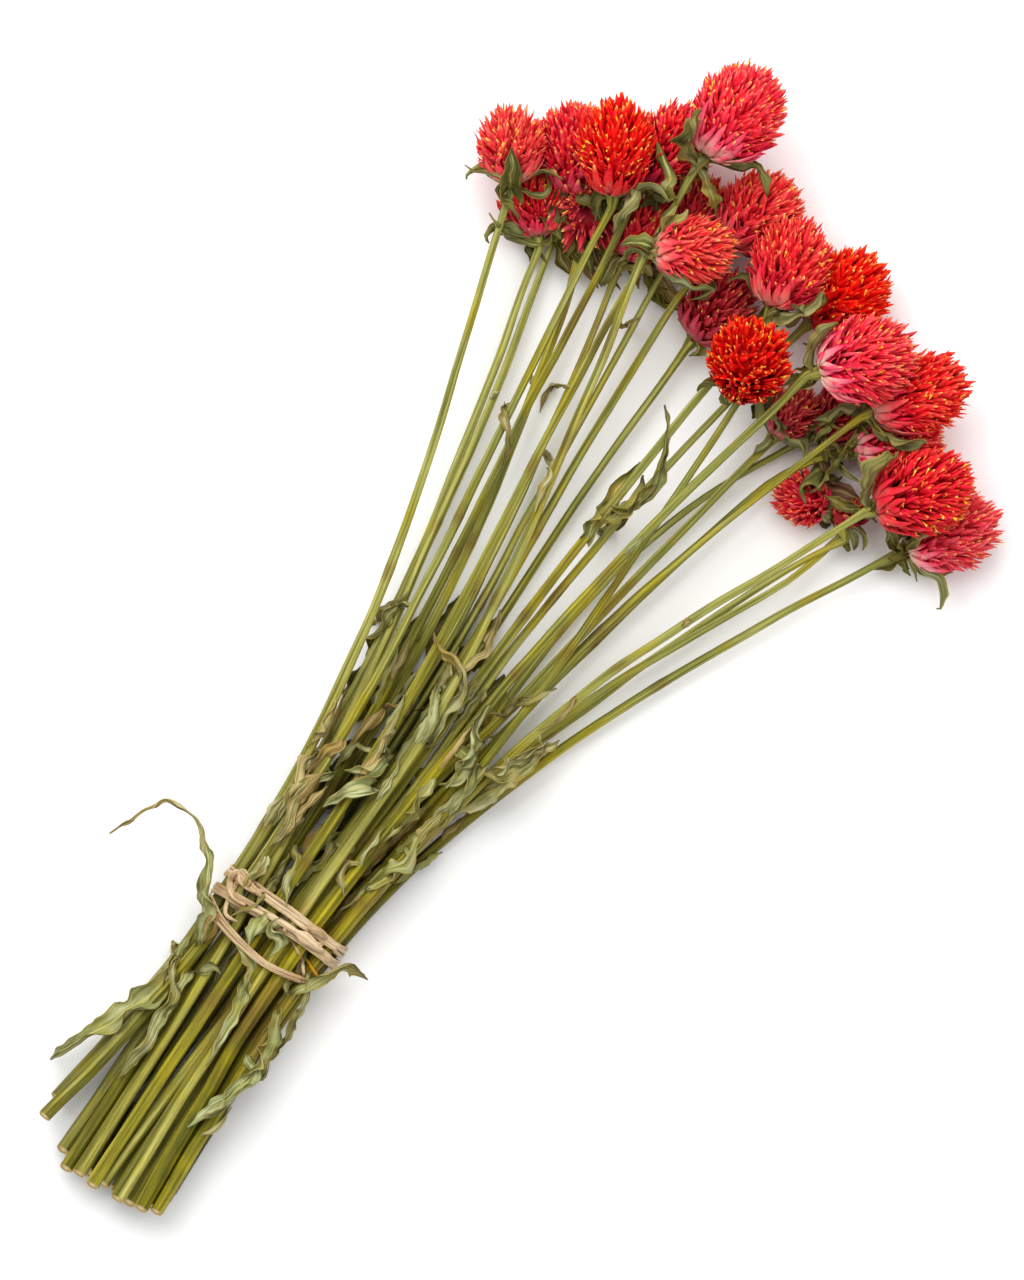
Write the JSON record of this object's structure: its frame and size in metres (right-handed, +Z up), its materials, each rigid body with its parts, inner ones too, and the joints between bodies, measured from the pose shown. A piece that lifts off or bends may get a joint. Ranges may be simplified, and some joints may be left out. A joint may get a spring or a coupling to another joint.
{
  "type": "dried flower bunch",
  "caption": "Dried globe amaranth bunch: long stems fan out from a raffia tie to round papery flower heads, with curled leaves.",
  "frame": {"origin": "on the surface that the bunch lies on, under the middle of its bounding box", "axes": "+Y along the bunch from the cut stem ends to the flower heads, +Z up from the surface, +X across the bunch"},
  "size_m": [0.194, 0.378, 0.0513],
  "materials": {
    "stem": "matt dry stems, leaves and bracts, olive to yellow-green with brown patches",
    "flower_scarlet": "papery bractlets, scarlet with orange tips and pale bases",
    "flower_red": "papery bractlets, red with pale pink bases",
    "flower_pink": "papery bractlets, pinkish red with cream bases",
    "flower_crimson": "papery bractlets, deep crimson",
    "flower_dusky": "papery bractlets, dusky crimson, in the lowest heads",
    "raffia": "matt fibrous strands, beige to tan"
  },
  "bodies": {
    "root": {"stem_a": "stem", "head_a": "flower_red", "stem_b": "stem", "head_b": "flower_scarlet", "stem_c": "stem", "head_c": "flower_crimson", "stem_d": "stem", "head_d": "flower_pink", "stem_e": "stem", "head_e": "flower_crimson", "stem_f": "stem", "head_f": "flower_dusky", "stem_g": "stem", "head_g": "flower_crimson", "stem_h": "stem", "head_h": "flower_red", "stem_i": "stem", "head_i": "flower_red", "stem_j": "stem", "head_j": "flower_red", "stem_k": "stem", "head_k": "flower_scarlet", "stem_l": "stem", "head_l": "flower_scarlet", "stem_m": "stem", "head_m": "flower_pink", "stem_n": "stem", "head_n": "flower_red", "stem_o": "stem", "head_o": "flower_pink", "stem_p": "stem", "head_p": "flower_scarlet", "stem_q": "stem", "head_q": "flower_red", "stem_r": "stem", "head_r": "flower_pink", "stem_s": "stem", "head_s": "flower_dusky", "stem_t": "stem", "head_t": "flower_dusky", "stem_u": "stem", "head_u": "flower_dusky", "stem_v": "stem", "head_v": "flower_pink", "stem_w": "stem", "head_w": "flower_dusky", "stem_x": "stem", "head_x": "flower_dusky", "raffia_tie": "raffia"}
  },
  "joints": []
}
